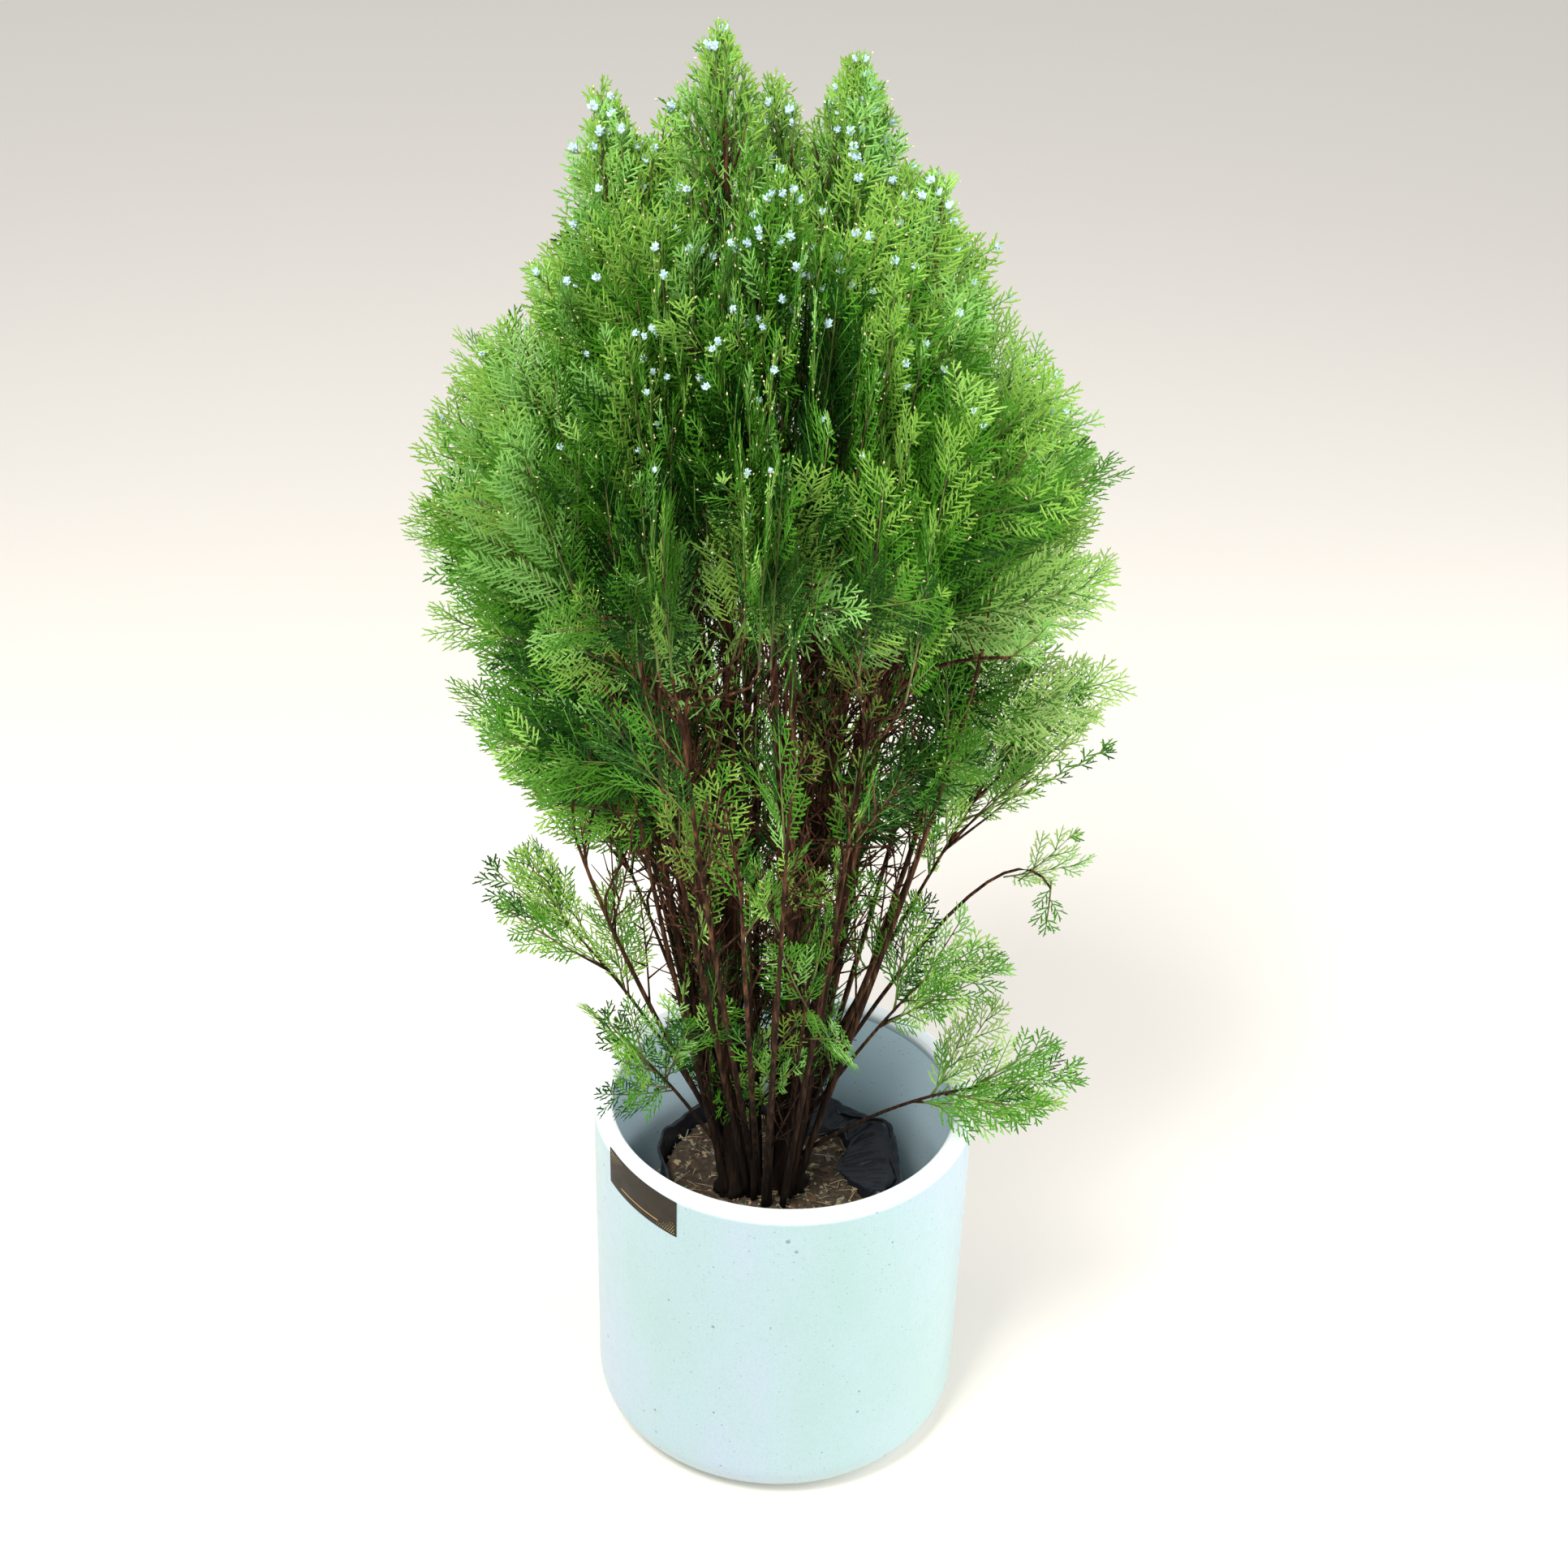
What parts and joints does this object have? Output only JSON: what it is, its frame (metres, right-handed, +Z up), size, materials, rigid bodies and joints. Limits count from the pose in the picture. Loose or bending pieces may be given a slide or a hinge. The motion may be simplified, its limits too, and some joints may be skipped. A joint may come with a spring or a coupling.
{
  "type": "potted oriental arborvitae",
  "caption": "Potted conifer with an ovoid crown of flat upright sprays on stems that fan out from low trunks, in a black grow bag inside a round pale planter.",
  "frame": {"origin": "centre of the planter's flat underside, where it stands on the ground", "axes": "+Z up along the planter's axis towards the tip of the crown, -Y towards the front, +X to the right seen from the front"},
  "size_m": [0.5299, 0.4844, 1.1729],
  "materials": {
    "planter": "pale blue white moulded shell with fine dark speckles, a little shiny",
    "film": "thin crumpled black plastic film",
    "soil": "moist brown soil with dry litter",
    "label": "dark brown plate with small gold dots",
    "bark": "thin dark red brown bark, furrowed lengthwise",
    "foliage": "flat sprays of scale leaves, deep green inside to yellow green at the tips",
    "cones": "small horned cones with a pale blue bloom"
  },
  "bodies": {
    "root": {"planter": "planter", "grow_bag": "film", "soil": "soil", "label_plate": "label", "trunk_left": "bark", "trunk_right": "bark", "bough_skirt_1": "bark", "bough_skirt_2": "bark", "bough_skirt_3": "bark", "bough_skirt_4": "bark", "bough_skirt_5": "bark", "bough_skirt_6": "bark", "bough_skirt_7": "bark", "bough_skirt_8": "bark", "bough_middle_1": "bark", "bough_middle_2": "bark", "bough_middle_3": "bark", "bough_middle_4": "bark", "bough_middle_5": "bark", "bough_middle_6": "bark", "bough_upper_1": "bark", "bough_upper_2": "bark", "bough_upper_3": "bark", "bough_upper_4": "bark", "bough_upper_5": "bark", "foliage_skirt_1": "foliage", "foliage_skirt_2": "foliage", "foliage_skirt_3": "foliage", "foliage_skirt_4": "foliage", "foliage_skirt_5": "foliage", "foliage_skirt_6": "foliage", "foliage_skirt_7": "foliage", "foliage_skirt_8": "foliage", "foliage_middle_1": "foliage", "foliage_middle_2": "foliage", "foliage_middle_3": "foliage", "foliage_middle_4": "foliage", "foliage_middle_5": "foliage", "foliage_middle_6": "foliage", "foliage_upper_1": "foliage", "foliage_upper_2": "foliage", "foliage_upper_3": "foliage", "foliage_upper_4": "foliage", "foliage_upper_5": "foliage", "foliage_crest_left": "foliage", "foliage_crest_right": "foliage", "foliage_crest_outer_left": "foliage", "foliage_crest_outer_right": "foliage", "foliage_crest_front": "foliage", "foliage_crest_back": "foliage", "foliage_low_left_high": "foliage", "foliage_low_left": "foliage", "foliage_low_left_front": "foliage", "foliage_low_front": "foliage", "foliage_low_right_high": "foliage", "foliage_low_right": "foliage", "foliage_low_right_sweep": "foliage", "foliage_low_right_hanging": "foliage", "foliage_low_back": "foliage"}
  },
  "joints": []
}
